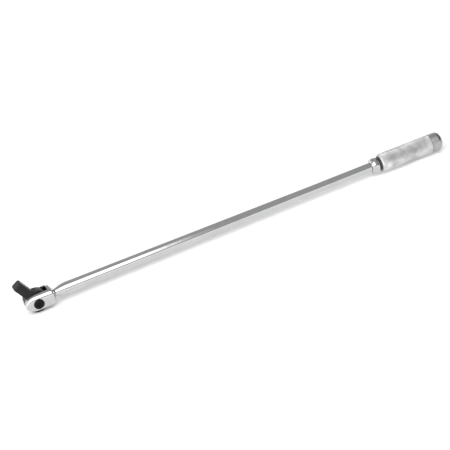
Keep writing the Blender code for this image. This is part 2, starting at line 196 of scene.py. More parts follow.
TURN = {
    "X": Matrix.Rotation(math.radians(90), 4, "Y"),
    "Y": Matrix.Rotation(math.radians(-90), 4, "X"),
}


def skin(bm, rings):
    """Skin equal closed rings of points, with a cap at either end."""
    skins = [[bm.verts.new(point) for point in ring] for ring in rings]
    count = len(skins[0])
    for first, second in zip(skins, skins[1:]):
        for i in range(count):
            j = (i + 1) % count
            bm.faces.new((first[i], first[j], second[j], second[i]))
    bm.faces.new(skins[0])
    bm.faces.new(skins[-1])


def turned(bm, profile, axis="X", sides=ROUND):
    """Body of revolution of (place along the axis, radius) points."""
    closed = profile[0][1] > 0
    verts = [bm.verts.new((radius, 0.0, along)) for along, radius in profile]
    edges = [bm.edges.new(pair) for pair in zip(verts, verts[1:])]
    if closed:
        edges.append(bm.edges.new((verts[-1], verts[0])))
    bmesh.ops.spin(
        bm, geom=verts + edges, cent=(0, 0, 0), axis=(0, 0, 1),
        angle=math.tau, steps=sides, use_merge=True,
    )
    bmesh.ops.remove_doubles(bm, verts=bm.verts, dist=MERGE)
    bmesh.ops.transform(bm, matrix=TURN[axis], verts=bm.verts)


def arc(along, radius, size, start, end, steps):
    """Points of an arc in a turned profile; angles in degrees from the axis direction."""
    points = []
    for i in range(steps + 1):
        angle = math.radians(start + (end - start) * i / steps)
        points.append((along + size * math.cos(angle), radius + size * math.sin(angle)))
    return points


def rounded(profile, size, steps=3, closed=False):
    """The same outline with each of its corners rounded; neighbours closer than the rounding stay sharp."""
    side_per_corner = 2.2
    nearly_straight = 0.02
    too_small = 1e-5
    count = len(profile)
    points = []
    for i, corner in enumerate(profile):
        corner = Vector(corner)
        if not closed and i in (0, count - 1):
            points.append(tuple(corner))
            continue
        before = Vector(profile[i - 1]) - corner
        after = Vector(profile[(i + 1) % count]) - corner
        reach = min(size, before.length / side_per_corner, after.length / side_per_corner)
        straight = abs(before.normalized().dot(after.normalized()) + 1) < nearly_straight
        if reach < too_small or straight:
            points.append(tuple(corner))
            continue
        start = corner + before.normalized() * reach
        end = corner + after.normalized() * reach
        for k in range(steps + 1):
            share = k / steps
            mid = start.lerp(corner, share).lerp(corner.lerp(end, share), share)
            points.append(tuple(mid))
    return points


def solid(name, build, matrix=None):
    """A mesh object in the bar's or the head's axes: a piece before its finish, or a tool for a Boolean."""
    mesh = bpy.data.meshes.new(name)
    bm = bmesh.new()
    build(bm)
    bmesh.ops.recalc_face_normals(bm, faces=bm.faces)
    bm.to_mesh(mesh)
    bm.free()
    thing = bpy.data.objects.new(name, mesh)
    bpy.context.collection.objects.link(thing)
    if matrix is not None:
        thing.matrix_world = matrix
    return thing


def rod(start, end, radius, axis, sides=ROUND):
    """Builder of a plain cylinder between two places on an axis."""
    profile = [(start, 0.0), (start, radius), (end, radius), (end, 0.0)]

    def build(bm):
        turned(bm, profile, axis, sides)

    return build


def hexagon(half_flat, start, end, axis):
    """Builder of a hexagonal rod; half_flat is half the width across its flats."""
    return rod(start, end, half_flat / math.cos(math.radians(30)), axis, 6)


def block(low, high):
    """Builder of a box between two corners."""

    def build(bm):
        bmesh.ops.create_cube(bm, size=1.0)
        bmesh.ops.scale(bm, vec=Vector(high) - Vector(low), verts=bm.verts)
        bmesh.ops.translate(bm, vec=(Vector(high) + Vector(low)) / 2, verts=bm.verts)

    return build


def apply_modifiers(thing):
    """Bake the modifiers into the mesh, and drop the tools they used."""
    tools = [m.object for m in thing.modifiers if m.type == "BOOLEAN"]
    bpy.context.view_layer.update()
    graph = bpy.context.evaluated_depsgraph_get()
    mesh = bpy.data.meshes.new_from_object(thing.evaluated_get(graph))
    thing.modifiers.clear()
    thing.data = mesh
    for tool in tools:
        bpy.data.objects.remove(tool, do_unlink=True)


def cut(thing, *tools, operation="DIFFERENCE"):
    """Cut the tools away, or join them with operation="UNION"."""
    for tool in tools:
        modifier = thing.modifiers.new(tool.name, "BOOLEAN")
        modifier.operation = operation
        modifier.solver = "EXACT"
        modifier.object = tool
    apply_modifiers(thing)


def bevel(thing, width):
    """Round the sharp edges."""
    modifier = thing.modifiers.new("edge", "BEVEL")
    modifier.width = width
    modifier.segments = 2
    modifier.limit_method = "ANGLE"
    modifier.angle_limit = math.radians(SHARP_ANGLE)
    modifier.harden_normals = False
    apply_modifiers(thing)


def smooth(thing, angle):
    """Smooth shading, with edges above the angle left sharp."""
    thing.data.shade_smooth()
    thing.data.set_sharp_from_angle(angle=math.radians(angle))


def piece(name, build, body, material, nodes, to_row=BAR_TO_ROW, angle=SHARP_ANGLE):
    """Make a finished piece in the bar's or head's axes and hand it to the frame."""
    thing = solid(name, build)
    thing.data.materials.append(material)
    settle(thing, body, nodes, to_row, angle)


def settle(thing, body, nodes, to_row=BAR_TO_ROW, angle=SHARP_ANGLE):
    """Move a finished piece to its place and hand it to the frame."""
    thing.data.transform(to_row)
    smooth(thing, angle)
    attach(thing, body)
    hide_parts(*nodes)


# ---------------------------------------------------------------------------
# Materials
# ---------------------------------------------------------------------------

class Nodes:
    """A small builder for one material's node tree."""

    def __init__(self, name):
        self.material = bpy.data.materials.new(name)
        self.material.use_nodes = True
        self.tree = self.material.node_tree
        self.shader = self.tree.nodes["Principled BSDF"]
        self.coords = self.tree.nodes.new("ShaderNodeTexCoord").outputs["Object"]

    def put(self, **values):
        """Constants of the shader, named with _ for a space."""
        for key, value in values.items():
            self.shader.inputs[key.replace("_", " ")].default_value = value

    def link(self, source, target):
        self.tree.links.new(source, target)

    def add(self, kind, **inputs):
        """A node with its inputs linked or set."""
        node = self.tree.nodes.new(kind)
        for key, value in inputs.items():
            target = node.inputs[key]
            if isinstance(value, bpy.types.NodeSocket):
                self.link(value, target)
            else:
                target.default_value = value
        return node

    def stretched(self, scale):
        mapping = self.add("ShaderNodeMapping", Vector=self.coords)
        mapping.inputs["Scale"].default_value = scale
        return mapping.outputs["Vector"]

    def noise(self, scale, detail=3.0, roughness=0.55, vector=None):
        node = self.add("ShaderNodeTexNoise", Vector=vector or self.coords)
        node.inputs["Scale"].default_value = scale
        node.inputs["Detail"].default_value = detail
        node.inputs["Roughness"].default_value = roughness
        return node.outputs["Fac"]

    def ramp(self, source, *stops):
        node = self.add("ShaderNodeValToRGB", Fac=source)
        elements = node.color_ramp.elements
        while len(elements) < len(stops):
            elements.new(0.5)
        for element, (place, colour) in zip(elements, stops):
            element.position = place
            element.color = (*colour, 1.0)
        return node.outputs["Color"]

    def range(self, source, low, high, to_low, to_high):
        node = self.add("ShaderNodeMapRange", Value=source)
        for key, value in (("From Min", low), ("From Max", high), ("To Min", to_low), ("To Max", to_high)):
            node.inputs[key].default_value = value
        return node.outputs["Result"]

    def maths(self, operation, first, second):
        node = self.tree.nodes.new("ShaderNodeMath")
        node.operation = operation
        for target, value in zip(node.inputs, (first, second)):
            if isinstance(value, bpy.types.NodeSocket):
                self.link(value, target)
            else:
                target.default_value = value
        return node.outputs["Value"]

    def bump(self, height, strength, distance):
        node = self.add("ShaderNodeBump", Height=height)
        node.inputs["Strength"].default_value = strength
        node.inputs["Distance"].default_value = distance
        self.link(node.outputs["Normal"], self.shader.inputs["Normal"])


def grey(value):
    return (value, value, value)


def make_chrome():
    """Bright plating over a forging: nearly a mirror, with faint waves and fine handling marks."""
    m = Nodes("chrome_plate")
    m.put(Metallic=1.0)
    cloud = m.noise(38.0, 3.0)
    plating = m.ramp(cloud, (0.3, (0.50, 0.503, 0.507)), (0.7, (0.545, 0.547, 0.55)))
    m.link(plating, m.shader.inputs["Base Color"])
    hair = m.noise(900.0, 4.0, 0.6, m.stretched((0.06, 1.0, 1.0)))
    mark = m.maths("MULTIPLY", m.range(cloud, 0.45, 0.75, 0.2, 1.0), m.range(hair, 0.50, 0.72, 0.0, 1.0))
    m.link(m.range(mark, 0.0, 1.0, 0.055, 0.15), m.shader.inputs["Roughness"])
    m.bump(m.noise(70.0, 2.0), 0.06, 0.0004)
    return m.material


def make_polished():
    """Turned and polished steel: tight rings left by the polishing wheel."""
    m = Nodes("polished_turning")
    m.put(Metallic=1.0)
    rings = m.noise(2200.0, 2.0, 0.5, m.stretched((1.0, 0.02, 0.02)))
    steel = m.ramp(rings, (0.3, (0.49, 0.493, 0.497)), (0.7, (0.56, 0.562, 0.565)))
    m.link(steel, m.shader.inputs["Base Color"])
    m.link(m.range(rings, 0.3, 0.7, 0.06, 0.14), m.shader.inputs["Roughness"])
    m.bump(rings, 0.05, 0.0001)
    return m.material


def make_satin(name, low, high, rough_low, rough_high):
    """Satin plated steel with cloudy wear, brighter on what a hand rubs."""
    m = Nodes(name)
    m.put(Metallic=1.0)
    cloud = m.noise(55.0, 4.0, 0.6)
    grain = m.noise(1600.0, 2.0, 0.5)
    mix = m.maths("ADD", m.maths("MULTIPLY", cloud, 0.75), m.maths("MULTIPLY", grain, 0.25))
    m.link(m.ramp(mix, (0.35, grey(low)), (0.65, grey(high))), m.shader.inputs["Base Color"])
    m.link(m.range(mix, 0.35, 0.65, rough_high, rough_low), m.shader.inputs["Roughness"])
    m.bump(grain, 0.15, 0.0001)
    return m.material


def make_black(name, low, high, specular):
    """Black oxide on steel: near-black, slightly oily, with a painted highlight of paler colour on its convex
    edges and a fine forged grain.
    """
    # Colour of the painted highlight laid on the convex edges
    painted_edge_highlight = (0.11, 0.11, 0.112, 1.0)
    m = Nodes(name)
    m.put(Metallic=0.0, Specular_IOR_Level=specular)
    cloud = m.noise(120.0, 4.0, 0.6)
    grain = m.noise(1500.0, 3.0, 0.6)
    edges = m.tree.nodes.new("ShaderNodeNewGeometry").outputs["Pointiness"]
    # Painted highlight: convex edges (pointiness) get the paler colour, patchy with the cloud noise
    edge_highlight_mask = m.maths("MULTIPLY", m.range(edges, 0.53, 0.62, 0.0, 1.0), m.range(cloud, 0.4, 0.6, 0.2, 1.0))
    base = m.ramp(cloud, (0.3, grey(low)), (0.7, grey(high)))
    mix = m.tree.nodes.new("ShaderNodeMix")
    mix.data_type = "RGBA"
    m.link(edge_highlight_mask, mix.inputs["Factor"])
    m.link(base, mix.inputs["A"])
    mix.inputs["B"].default_value = painted_edge_highlight
    m.link(mix.outputs["Result"], m.shader.inputs["Base Color"])
    m.link(m.range(cloud, 0.3, 0.7, 0.30, 0.46), m.shader.inputs["Roughness"])
    m.bump(grain, 0.20, 0.00012)
    return m.material


def make_spring():
    """Drawn spring wire, with marks along the wire."""
    m = Nodes("spring_wire")
    m.put(Metallic=1.0)
    drawn = m.noise(2500.0, 3.0)
    m.link(m.ramp(drawn, (0.35, grey(0.24)), (0.65, grey(0.38))), m.shader.inputs["Base Color"])
    m.link(m.range(drawn, 0.35, 0.65, 0.28, 0.42), m.shader.inputs["Roughness"])
    return m.material


def make_rubber():
    """Matte, dark grey ring with a dusty face."""
    m = Nodes("ring_rubber")
    dust = m.noise(900.0, 3.0)
    m.link(m.ramp(dust, (0.35, grey(0.045)), (0.70, grey(0.080))), m.shader.inputs["Base Color"])
    m.link(m.range(dust, 0.3, 0.7, 0.60, 0.78), m.shader.inputs["Roughness"])
    m.bump(dust, 0.2, 0.0001)
    return m.material


CHROME = make_chrome()
POLISHED = make_polished()
KNURL_STEEL = make_satin("knurl_steel", 0.44, 0.78, 0.42, 0.60)
CAP_STEEL = make_satin("cap_steel", 0.32, 0.46, 0.32, 0.46)
BLACK = make_black("black_oxide_finish", 0.0045, 0.0125, 0.25)
SCREW_BLACK = make_black("black_screw_finish", 0.0015, 0.0045, 0.16)
SPRING = make_spring()
RUBBER = make_rubber()

# ---------------------------------------------------------------------------
# Fork, waist and shaft
# ---------------------------------------------------------------------------

ARC_POINTS = 56              # points round one side of a section, slot edge to slot edge
ARC_SAMPLES = 400            # samples that the even points are picked from
STRIP_POINTS = 14            # points across the top or bottom between the slot edges
QUARTER = math.sqrt(0.5)
NOSE_ANGLES = (0.7, 2, 4, 7, 10, 14, 18, 23, 28, 34, 40, 47, 54, 62, 70, 80)
FORK_PLACES = (0.0, 0.003, 0.006, 0.009)
SHOULDER_RINGS = 44
SWOOP_RINGS = 12
TAPER_RINGS = 14
TAPER_RUN_OUT = 0.03
TAIL_STEP = 0.0002


def smooth_step(x, start, end):
    """An eased ramp from 0 to 1."""
    share = min(max((x - start) / (end - start), 0.0), 1.0)
    return 0.5 - 0.5 * math.cos(math.pi * share)


def crisp_step(x, start, end, ease=0.22):
    """A straight ramp with short eased ends, for a shoulder that shows as a line."""
    t = min(max((x - start) / (end - start), 0.0), 1.0)
    if t < ease:
        return t * t / (2 * ease * (1 - ease))
    if t > 1 - ease:
        return 1 - (1 - t) ** 2 / (2 * ease * (1 - ease))
    return (t - ease / 2) / (1 - ease)


def shaft_radius(x):
    """The swoop from the waist, then the long taper."""
    if x < SHAFT_START_X:
        left = (SHAFT_START_X - x) / (SHAFT_START_X - WAIST_X)
        return SHAFT_ROOT_RADIUS - (SHAFT_ROOT_RADIUS - WAIST_RADIUS) * left ** 2
    share = min((x - SHAFT_START_X) / (TAPER_END_X - SHAFT_START_X), 1.0)
    return SHAFT_ROOT_RADIUS + (SHAFT_END_RADIUS - SHAFT_ROOT_RADIUS) * share


def fork_section(x):
    """Half width, half height and squareness of the forging."""
    nose = 1.0
    if x < 0.0:
        nose = (1.0 - min(-x / FORK_NOSE, 1.0) ** NOSE_POWER) ** (1.0 / NOSE_POWER)
    bar = WAIST_RADIUS if x < WAIST_X else shaft_radius(x)
    height = (FORK_HALF_HEIGHT + (bar - FORK_HALF_HEIGHT) * crisp_step(x, FORK_SHOULDER, WAIST_X)) * nose
    side = 1.0 - NOSE_SIDE_LOSS * (1.0 - nose)
    width = (FORK_HALF_WIDTH + (bar - FORK_HALF_WIDTH) * crisp_step(x, SIDE_SHOULDER, WAIST_X)) * side
    rounding = smooth_step(x, SQUARE_SHOULDER, WAIST_X)
    return width, height, FORK_SQUARENESS + (ROUND_SQUARENESS - FORK_SQUARENESS) * rounding


def side_arc(x, half_slot):
    """Evenly spaced points of one side of a section, from the top slot edge round to the bottom one."""
    width, height, square = fork_section(x)
    start = math.acos((half_slot / width) ** (square / 2))
    dense = []
    for i in range(ARC_SAMPLES + 1):
        t = start * (1 - i / (ARC_SAMPLES // 2))
        across, up = math.cos(t), math.sin(t)
        across = abs(across) ** (2 / square)
        up = math.copysign(abs(up) ** (2 / square), up)
        dense.append(Vector((across * width, up * height)))
    lengths = [0.0]
    for first, second in zip(dense, dense[1:]):
        lengths.append(lengths[-1] + (second - first).length)
    points, k = [], 0
    for i in range(ARC_POINTS):
        goal = lengths[-1] * i / (ARC_POINTS - 1)
        while k < len(lengths) - 2 and lengths[k + 1] < goal:
            k += 1
        step = lengths[k + 1] - lengths[k]
        points.append(dense[k].lerp(dense[k + 1], (goal - lengths[k]) / step if step else 0.0))
    return points


def top_at(x, y):
    """Height of the section's top at a place across it."""
    width, height, square = fork_section(x)
    return height * max(1.0 - abs(y / width) ** square, 0.0) ** (1.0 / square)


def whole_ring(x):
    """Closed section ring: near side down, bottom strip, far side up, top strip."""
    width = fork_section(x)[0]
    share = crisp_step(x, SLOT_FLOOR, WAIST_X)
    half_slot = SLOT_HALF + (QUARTER * width - SLOT_HALF) * share
    side = side_arc(x, half_slot)
    strip = [half_slot * (1 - 2 * i / (STRIP_POINTS + 1)) for i in range(1, STRIP_POINTS + 1)]
    ring = [(x, -p.x, p.y) for p in side]
    ring += [(x, -y, -top_at(x, y)) for y in strip]
    ring += [(x, p.x, p.y) for p in reversed(side)]
    ring += [(x, y, top_at(x, y)) for y in strip]
    return ring


def spread(start, end, count, first=0):
    """Evenly spaced places from start to end."""
    return [start + (end - start) * i / count for i in range(first, count + 1)]


def forging(bm):
    """Fork, waist, shaft and tail in one skin, before the slot and the holes are cut."""
    places = [-FORK_NOSE * math.cos(math.radians(angle)) for angle in NOSE_ANGLES]
    places += FORK_PLACES
    places += spread(FORK_SHOULDER, WAIST_X, SHOULDER_RINGS)
    places += spread(WAIST_X, SHAFT_START_X, SWOOP_RINGS, 1)
    places += spread(SHAFT_START_X, TAPER_END_X, TAPER_RINGS, 1)
    places += [TAPER_END_X + TAPER_RUN_OUT, SHAFT_STEP_X]
    rings = [whole_ring(x) for x in places]
    scale = (SHAFT_END_RADIUS - GAP) / SHAFT_END_RADIUS
    tail = [(y * scale, z * scale) for _, y, z in rings[-1]]
    for x in (SHAFT_STEP_X + TAIL_STEP, FORK_HIGH.x):
        rings.append([(x, y, z) for y, z in tail])
    skin(bm, rings)


def make_fork_shaft():
    thing = solid("fork_shaft_finish", forging)
    beyond = FORK_NOSE * 1.3
    outside = SCREW_FACE_Y * 1.5
    seat = SCREW_FACE_Y - SCREW_HEAD_DEPTH - GAP
    bore_start = SLOT_FLOOR - PLUNGER_BORE
    tail_start = FORK_HIGH.x - TAIL_HOLE_DEPTH
    cut(
        thing,
        solid("plunger", rod(bore_start, PLUNGER_BORE_END, PLUNGER_BORE, "X", SMALL_ROUND)),
        solid("tail", rod(tail_start, GRIP_END, TAIL_HOLE, "X", SMALL_ROUND)),
        solid("slot", block((-beyond, -SLOT_HALF, -beyond), (SLOT_FLOOR, SLOT_HALF, beyond))),
        solid("near_seat", rod(-outside, -seat, SEAT_RADIUS, "Y")),
        solid("far_seat", rod(seat, outside, SEAT_RADIUS, "Y")),
        solid("pin", rod(-outside, outside, PIN_RADIUS + GAP, "Y")),
    )
    thing.data.materials.append(CHROME)
    soften_cut_edges(thing)
    settle(thing, "handle", ["fork_shaft"], angle=50)


def soften_cut_edges(thing):
    """Round the edges that the slot and the screw seats leave on the outside of the forging."""
    sharp = math.radians(35)
    near = 1e-5
    near_seat = 3e-5
    outer_y = 0.0116
    bm = bmesh.new()
    bm.from_mesh(thing.data)
    bmesh.ops.remove_doubles(bm, verts=bm.verts, dist=2 * MERGE)
    chosen = []
    for edge in bm.edges:
        if len(edge.link_faces) != 2 or edge.calc_face_angle() < sharp:
            continue
        middle = (edge.verts[0].co + edge.verts[1].co) / 2
        from_pivot = math.hypot(middle.x, middle.z)
        on_wall = abs(abs(middle.y) - SLOT_HALF) < near
        at_slot = on_wall and middle.x < SLOT_FLOOR + near and from_pivot > PIN_RADIUS + 2 * GAP
        at_floor = abs(middle.x - SLOT_FLOOR) < near and abs(middle.z) > PLUNGER_BORE * 2
        inner_corner = at_floor and on_wall
        at_seat = abs(from_pivot - SEAT_RADIUS) < near_seat and abs(middle.y) > outer_y
        if (at_slot or at_floor or at_seat) and not inner_corner:
            chosen.append(edge)
    bmesh.ops.bevel(
        bm, geom=chosen, offset=SLOT_EDGE, offset_type="OFFSET", segments=3, profile=0.5,
        affect="EDGES", clamp_overlap=True,
    )
    bm.to_mesh(thing.data)
    bm.free()


# ---------------------------------------------------------------------------
# Drive head
# ---------------------------------------------------------------------------

def tang(bm):
    """The square drive, with rounded long edges and a chamfered end."""
    half = DRIVE_SQUARE / 2
    places = (
        (-TANG_START, half),
        (-TANG_REACH + TANG_CHAMFER, half),
        (-TANG_REACH, half - TANG_CHAMFER),
    )
    rings = []
    for x, side in places:
        square = [(-side, -side), (side, -side), (side, side), (-side, side)]
        rings.append([(x, y, z) for y, z in rounded(square, TANG_EDGE, 4, closed=True)])
    skin(bm, rings)


def make_head():
    """Eye and tang joined, remeshed and relaxed so that the tang's root blends, then the ball's hole cut."""
    thick = EYE_THICKNESS / 2
    eye_side = rounded(
        [(-thick, 0.0), (-thick, EYE_RADIUS), (thick, EYE_RADIUS), (thick, 0.0)], EYE_EDGE, 4)
    thing = solid("drive_head_finish", lambda bm: turned(bm, eye_side, "Y", VERY_ROUND))
    bore = solid("eye_bore", rod(-DRIVE_SQUARE, DRIVE_SQUARE, PIN_RADIUS + GAP, "Y"))
    cut(thing, solid("tang", tang), operation="UNION")
    cut(thing, bore)
    remesh = thing.modifiers.new("even", "REMESH")
    remesh.mode = "VOXEL"
    remesh.voxel_size = HEAD_VOXEL
    relax = thing.modifiers.new("relax", "SMOOTH")
    relax.factor = 0.5
    relax.iterations = HEAD_RELAX_STEPS
    apply_modifiers(thing)
    hole = rod(DRIVE_SQUARE / 2 - BALL_BORE_DEPTH, DRIVE_SQUARE, BALL_RADIUS + GAP, "Y", SMALL_ROUND)
    cut(thing, solid("ball_hole", hole, Matrix.Translation((BALL_FROM_END - TANG_REACH, 0, 0))))
    thing.data.materials.clear()
    thing.data.materials.append(BLACK)
    settle(thing, "head", ["drive_head"], HEAD_TO_ROW, angle=60)


def make_ball():
    centre = (BALL_LOW + BALL_HIGH) / 2
    radius = (BALL_HIGH.y - BALL_LOW.y) / 2

    def build(bm):
        bmesh.ops.create_uvsphere(bm, u_segments=SMALL_ROUND, v_segments=32, radius=radius)

    piece("detent_ball_finish", build, "detent", POLISHED, ["detent_ball"],
          BAR_TO_ROW @ Matrix.Translation(centre))


# ---------------------------------------------------------------------------
# Pivot screw and nut
# ---------------------------------------------------------------------------

def make_screw():
    face = -SCREW_FACE_Y
    seat = SCREW_FACE_Y - SCREW_HEAD_DEPTH
    tip = SCREW_HIGH.y
    profile = rounded([
        (face + SCREW_DISH_DEPTH, 0.0),
        (face + SCREW_DISH_DEPTH, SCREW_DISH_FLAT),
        (face, SCREW_DISH_RADIUS),
        (face, SCREW_HEAD_RADIUS - SCREW_CHAMFER),
        (face + SCREW_CHAMFER, SCREW_HEAD_RADIUS),
        (-seat, SCREW_HEAD_RADIUS),
        (-seat, PIN_RADIUS),
        (seat - GAP, PIN_RADIUS),
        (seat - GAP, THREAD_RADIUS),
        (tip - THREAD_CHAMFER, THREAD_RADIUS),
        (tip, THREAD_RADIUS - THREAD_CHAMFER),
        (tip, 0.0),
    ], SCREW_ROUNDING)
    thing = solid("pivot_screw_finish", lambda bm: turned(bm, profile, "Y"))
    socket = hexagon(SCREW_HEX_HALF, face - CUTTER_EXTRA, face + SCREW_HEX_DEPTH, "Y")
    cut(thing, solid("hex", socket))
    bevel(thing, HEX_EDGE)
    thing.data.materials.append(SCREW_BLACK)
    settle(thing, "handle", ["pivot_screw"], angle=45)


def make_nut():
    inner, outer = NUT_LOW.y, NUT_HIGH.y
    profile = rounded([
        (inner, NUT_BORE),
        (inner, SCREW_HEAD_RADIUS),
        (outer - NUT_CHAMFER, SCREW_HEAD_RADIUS),
        (outer, SCREW_HEAD_RADIUS - NUT_CHAMFER),
        (outer, NUT_BORE),
    ], NUT_ROUNDING, closed=True)
    thing = solid("pivot_nut_finish", lambda bm: turned(bm, profile, "Y"))
    reach = SCREW_HEAD_RADIUS * 1.5
    slot = block((-reach, outer - NUT_SLOT_DEPTH, -NUT_SLOT_HALF), (reach, outer * 1.2, NUT_SLOT_HALF))
    cut(thing, solid("nut_slot", slot))
    bevel(thing, CUT_EDGE)
    thing.data.materials.append(SCREW_BLACK)
    settle(thing, "handle", ["pivot_nut"], angle=45)


# ---------------------------------------------------------------------------
# Collar, groove ring, knurled grip and end
# ---------------------------------------------------------------------------

def make_collar():
    start = COLLAR_LOW.x
    end = start + COLLAR_LENGTH
    bead_centre = COLLAR_RADIUS - COLLAR_ROUND
    crown = arc(start + COLLAR_ROUND, bead_centre, COLLAR_ROUND, COLLAR_FRONT_ANGLE, 90, 20)
    crown += arc(end - COLLAR_ROUND, bead_centre, COLLAR_ROUND, 90, COLLAR_BACK_ANGLE, 18)
    profile = [(crown[0][0], TAIL_BORE)] + crown + rounded([
        (end, GROOVE_FLOOR),
        (GRIP_START + GAP, GROOVE_FLOOR),
        (GRIP_START + GAP, SPIGOT_RADIUS),
        (COLLAR_HIGH.x, SPIGOT_RADIUS),
        (COLLAR_HIGH.x, TAIL_BORE),
    ], COLLAR_ROUNDING)
    piece("front_collar_finish", lambda bm: turned(bm, profile), "handle", POLISHED,
          ["front_collar"], angle=50)


def make_groove_ring():
    low, high = GROOVE_LOW.x, GROOVE_HIGH.x
    inner, outer = GROOVE_FLOOR + GAP, GROOVE_HIGH.z
    square = [(low, inner), (low, outer), (high, outer), (high, inner)]
    profile = rounded(square, GROOVE_RING_ROUNDING, 5, closed=True)
    piece("groove_ring_finish", lambda bm: turned(bm, profile), "handle", RUBBER,
          ["groove_ring"])


def on_sleeve(x, turn, radius):
    """A point at a place along the sleeve, an angle round it, and a distance from its axis."""
    return (x, radius * math.cos(turn), radius * math.sin(turn))


def diamond(bm, lattice, row, column, x, turn, row_step, column_step):
    """One knurl diamond: a flat crest and a slope to each pair of neighbouring groove crossings."""
    wrap = 2 * KNURL_AROUND
    offsets = [(-1, 0), (0, 1), (1, 0), (0, -1)]
    corners = [lattice.get((row + dx, (column + dt) % wrap)) for dx, dt in offsets]
    crest = []
    for (dx, dt), corner in zip(offsets, corners):
        along = x if corner is None else x + dx * KNURL_FLAT * row_step
        angle = turn + dt * KNURL_FLAT * column_step
        crest.append(bm.verts.new(on_sleeve(along, angle, GRIP_RADIUS)))
    missing = [k for k in range(4) if corners[k] is None]
    if not missing:
        bm.faces.new(crest)
    for k in range(4):
        n = (k + 1) % 4
        if corners[k] is not None and corners[n] is not None:
            bm.faces.new((corners[k], corners[n], crest[n], crest[k]))
    for k in missing:
        bm.faces.new((crest[k - 1], crest[(k + 2) % 4], crest[(k + 1) % 4]))
        bm.verts.remove(crest[k])


def make_grip():
    """Diamond knurl with a real crest and groove for each diamond, between plain chamfered ends."""
    start = GRIP_START + KNURL_MARGIN
    end = SLEEVE_END - KNURL_MARGIN / 2
    pitch = math.tau * GRIP_RADIUS / KNURL_AROUND
    rows = round((end - start) / pitch) * 2
    row_step = (end - start) / rows
    column_step = math.tau / (2 * KNURL_AROUND)
    cells = [(row, column) for row in range(rows + 1) for column in range(2 * KNURL_AROUND)]

    def build(bm):
        lattice = {}
        for row, column in cells:
            if (row + column) % 2 == 0:
                place = on_sleeve(start + row * row_step, column * column_step, GRIP_RADIUS - KNURL_DEPTH)
                lattice[row, column] = bm.verts.new(place)
        for row, column in cells:
            if (row + column) % 2 == 1:
                x = start + row * row_step
                diamond(bm, lattice, row, column, x, column * column_step, row_step, column_step)
        close_ends(bm)

    piece("knurled_grip_finish", build, "handle", KNURL_STEEL, ["knurled_grip"], angle=12)


def open_rims(bm):
    """The two closed chains of points round the knurl's open ends."""
    rim_edges = {}
    for edge in [e for e in bm.edges if len(e.link_faces) == 1]:
        for vert in edge.verts:
            rim_edges.setdefault(vert, []).append(edge)
    seen = set()
    rims = []
    for first in rim_edges:
        chain = []
        here = None if first in seen else first
        while here is not None:
            chain.append(here)
            seen.add(here)
            others = (edge.other_vert(here) for edge in rim_edges[here])
            here = next((vert for vert in others if vert not in seen), None)
        if chain:
            rims.append(chain)
    return rims


def close_ends(bm):
    """Join the knurl's open ends to plain turned bands and the sleeve's bore."""
    floor = GRIP_RADIUS - KNURL_DEPTH
    edge_in, edge_drop = SLEEVE_EDGE
    inner_loops = []
    for chain in open_rims(bm):
        at_start = sum(vert.co.x for vert in chain) / len(chain) < (GRIP_START + SLEEVE_END) / 2
        end_x, inward = (GRIP_START, 1) if at_start else (SLEEVE_END, -1)
        chamfer_in, drop = FRONT_CHAMFER if at_start else BACK_CHAMFER
        profile = [
            (end_x + inward * chamfer_in, floor),
            (end_x + inward * edge_in, floor - drop),
            (end_x, floor - drop - edge_drop),
            (end_x, SLEEVE_BORE),
        ]
        pairs = [(i, (i + 1) % len(chain)) for i in range(len(chain))]
        previous = chain
        for along, radius in profile:
            turns = [math.atan2(vert.co.z, vert.co.y) for vert in chain]
            ring = [bm.verts.new(on_sleeve(along, turn, radius)) for turn in turns]
            for i, j in pairs:
                bm.faces.new((previous[i], previous[j], ring[j], ring[i]))
            previous = ring
        inner_loops += [bm.edges.get((previous[i], previous[j])) for i, j in pairs]
    bmesh.ops.bridge_loops(bm, edges=inner_loops)


def make_end_cap():
    start = SLEEVE_END + GAP
    floor = GRIP_END - CAP_POCKET_DEPTH
    tail_end = FORK_HIGH.x + GAP
    profile = [(start, SPIGOT_RADIUS), (start, GRIP_RADIUS - CAP_EDGE), (start + CAP_EDGE, GRIP_RADIUS)]
    profile += arc(GRIP_END - CAP_ROUND, GRIP_RADIUS - CAP_ROUND, CAP_ROUND, 90, 0, 28)
    profile += [
        (GRIP_END, CAP_POCKET + CAP_EDGE),
        (GRIP_END - CAP_EDGE, CAP_POCKET),
        (floor, CAP_POCKET),
        (floor, TAIL_HOLE),
        (tail_end, TAIL_HOLE),
        (tail_end, TAIL_BORE),
        (CAP_LOW.x, TAIL_BORE),
        (CAP_LOW.x, SPIGOT_RADIUS),
    ]
    piece("end_cap_finish", lambda bm: turned(bm, profile, sides=VERY_ROUND), "handle",
          CAP_STEEL, ["end_cap"], angle=35)


def make_end_screw():
    tip, top = END_SCREW_LOW.x, END_SCREW_HIGH.x
    under = top - END_SCREW_HEAD
    profile = rounded([
        (tip, 0.0),
        (tip, END_SCREW_RADIUS),
        (under, END_SCREW_RADIUS),
        (under, END_SCREW_HIGH.z),
        (top, END_SCREW_HIGH.z),
        (top, 0.0),
    ], END_SCREW_ROUNDING)
    thing = solid("end_screw_finish", lambda bm: turned(bm, profile, "X", 64))
    cut(thing, solid("end_hex", hexagon(END_HEX_HALF, top - END_HEX_DEPTH, top + END_HEX_DEPTH, "X")))
    bevel(thing, CUT_EDGE)
    thing.data.materials.append(SCREW_BLACK)
    settle(thing, "handle", ["end_screw"], angle=45)


def finish_cad_nodes():
    """Inner pieces keep their CAD shape and get finished materials."""
    finishes = {
        "thrust_washer_near": POLISHED,
        "thrust_washer_far": POLISHED,
        "friction_plunger": POLISHED,
        "friction_spring": SPRING,
        "detent_spring": SPRING,
        "lock_washer": POLISHED,
    }
    for name, material in finishes.items():
        for material_slot in frame["nodes"][name].material_slots:
            material_slot.material = material


# ---------------------------------------------------------------------------
# Studio
# ---------------------------------------------------------------------------

